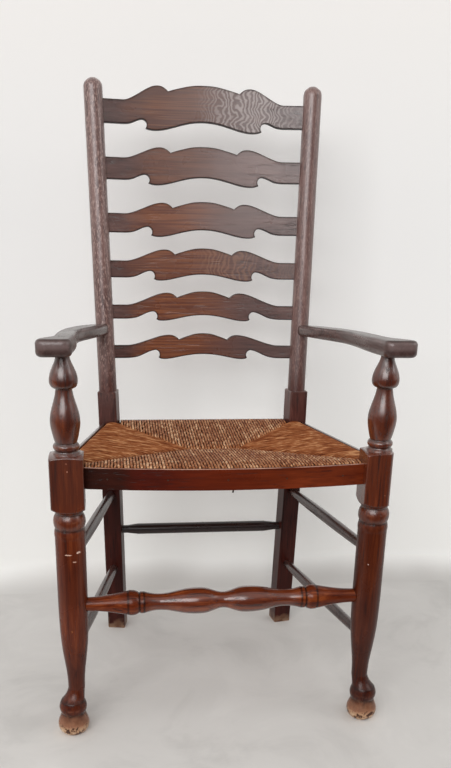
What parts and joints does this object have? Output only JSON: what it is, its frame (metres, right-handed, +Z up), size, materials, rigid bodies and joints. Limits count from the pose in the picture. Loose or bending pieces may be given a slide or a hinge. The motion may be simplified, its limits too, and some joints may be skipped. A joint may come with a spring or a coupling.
{
  "type": "ladderback armchair",
  "caption": "Tall ladderback armchair in dark stained wood with wavy slats, shaped arms on turned supports, turned front legs and stretcher, and a woven rush seat.",
  "frame": {"origin": "on the floor, under the middle of the chair's overall box", "axes": "+Z up, +Y towards the chair's back, +X towards the right-hand side as seen from the front"},
  "size_m": [0.578, 0.4851, 1.0802],
  "materials": {
    "turned_wood": "satin dark red-brown stain, worn at the feet",
    "frame_wood": "satin dark brown stain",
    "slat_wood": "satin mid-brown stain with open grain",
    "strip_wood": "satin dark stain rubbed pale along the edge",
    "rail_wood": "plain sawn wood, hidden in the rush",
    "rush": "twisted rush cord, dry and matte",
    "brad_steel": "dull dark steel"
  },
  "bodies": {
    "root": {"arm_left": "frame_wood", "arm_right": "frame_wood", "back_post_left": "frame_wood", "back_post_right": "frame_wood", "back_stretcher": "frame_wood", "edging_strip_back": "strip_wood", "edging_strip_front": "strip_wood", "edging_strip_left": "strip_wood", "edging_strip_right": "strip_wood", "front_post_left": "turned_wood", "front_post_right": "turned_wood", "front_stretcher": "turned_wood", "rush_seat": "rush", "seat_rail_back": "rail_wood", "seat_rail_front": "rail_wood", "seat_rail_left": "rail_wood", "seat_rail_right": "rail_wood", "side_stretcher_lower_left": "frame_wood", "side_stretcher_lower_right": "frame_wood", "side_stretcher_upper_left": "frame_wood", "side_stretcher_upper_right": "frame_wood", "slat_1": "slat_wood", "slat_2": "slat_wood", "slat_3": "slat_wood", "slat_4": "slat_wood", "slat_5": "slat_wood", "slat_6": "slat_wood", "strip_brads": "brad_steel"}
  },
  "joints": []
}
